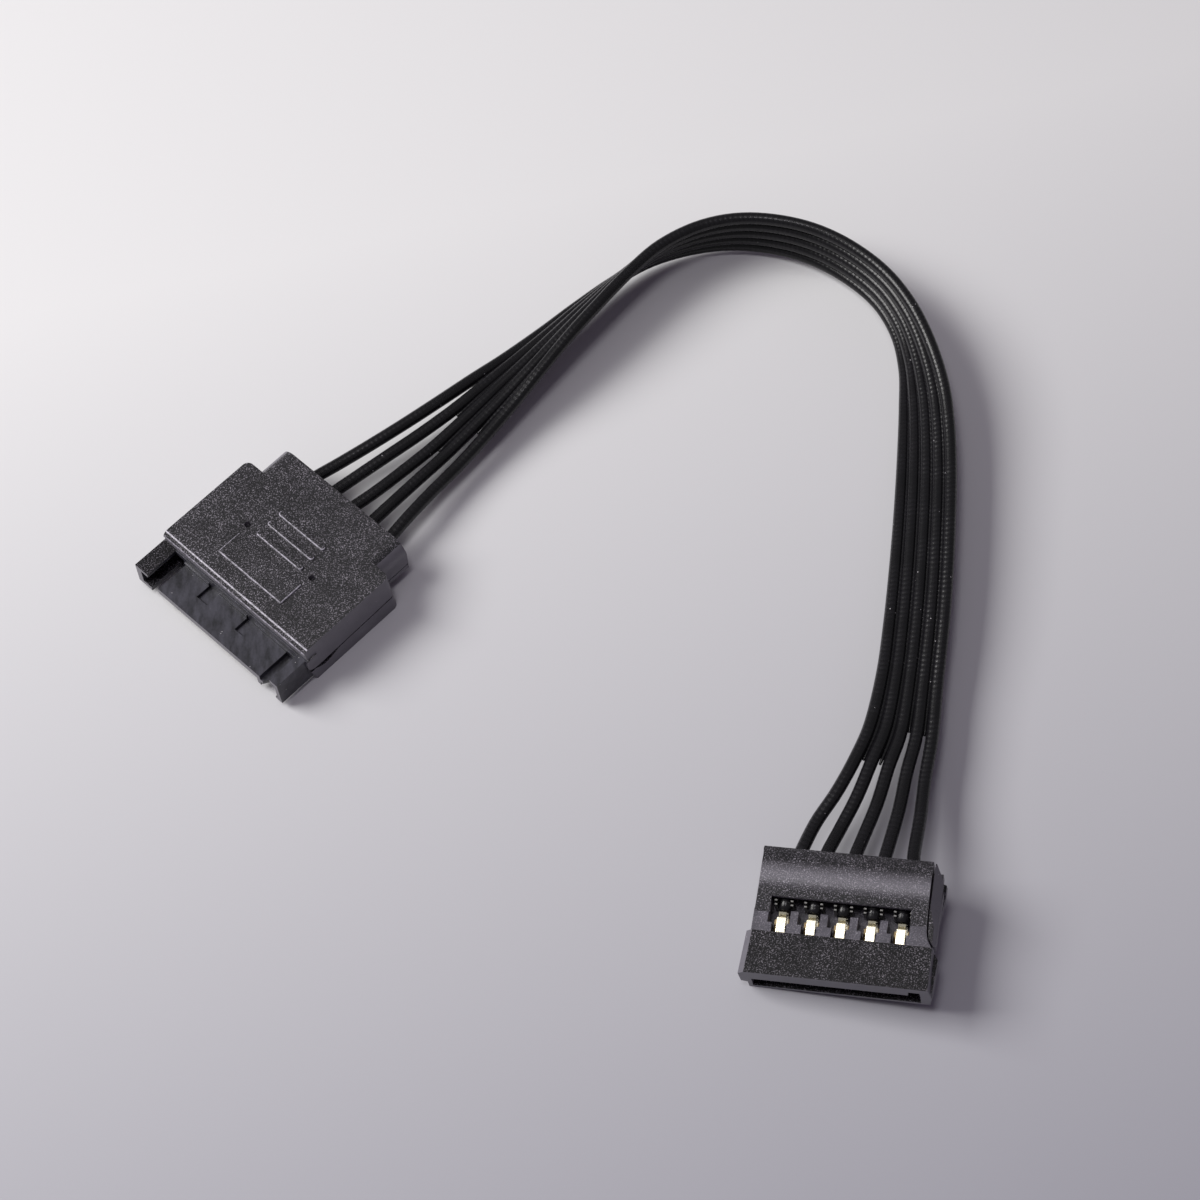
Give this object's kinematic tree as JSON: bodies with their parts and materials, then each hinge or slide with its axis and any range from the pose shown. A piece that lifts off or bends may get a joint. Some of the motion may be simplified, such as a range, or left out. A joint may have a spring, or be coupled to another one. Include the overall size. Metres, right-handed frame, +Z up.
{
  "type": "sata power extension cable",
  "caption": "Short flat-ribbon SATA power extension: a tongue plug and a slotted receptacle joined by bonded black wires lying in an arc.",
  "frame": {"origin": "middle of the two connectors' footprint, on the table they lie on", "axes": "+X from the plug's side to the receptacle's side as the cable lies, +Y towards the ribbon's bend, +Z up"},
  "size_m": [0.1157, 0.1241, 0.0103],
  "materials": {
    "grained_plastic": "fine spark grain",
    "smooth_plastic": "smooth satin",
    "insert_plastic": "smooth satin",
    "gold_plate": "bright plating on copper alloy",
    "wire_jacket": "soft satin jacket"
  },
  "bodies": {
    "root": {"male_top_cover": "grained_plastic", "male_bottom_cover": "smooth_plastic", "male_insert": "insert_plastic", "female_housing": "grained_plastic", "female_cover": "grained_plastic", "male_terminal_1": "gold_plate", "male_terminal_2": "gold_plate", "male_terminal_3": "gold_plate", "male_terminal_4": "gold_plate", "male_terminal_5": "gold_plate", "female_terminal_1": "gold_plate", "female_terminal_2": "gold_plate", "female_terminal_3": "gold_plate", "female_terminal_4": "gold_plate", "female_terminal_5": "gold_plate", "wire_1": "wire_jacket", "wire_2": "wire_jacket", "wire_3": "wire_jacket", "wire_4": "wire_jacket", "wire_5": "wire_jacket"}
  },
  "joints": []
}
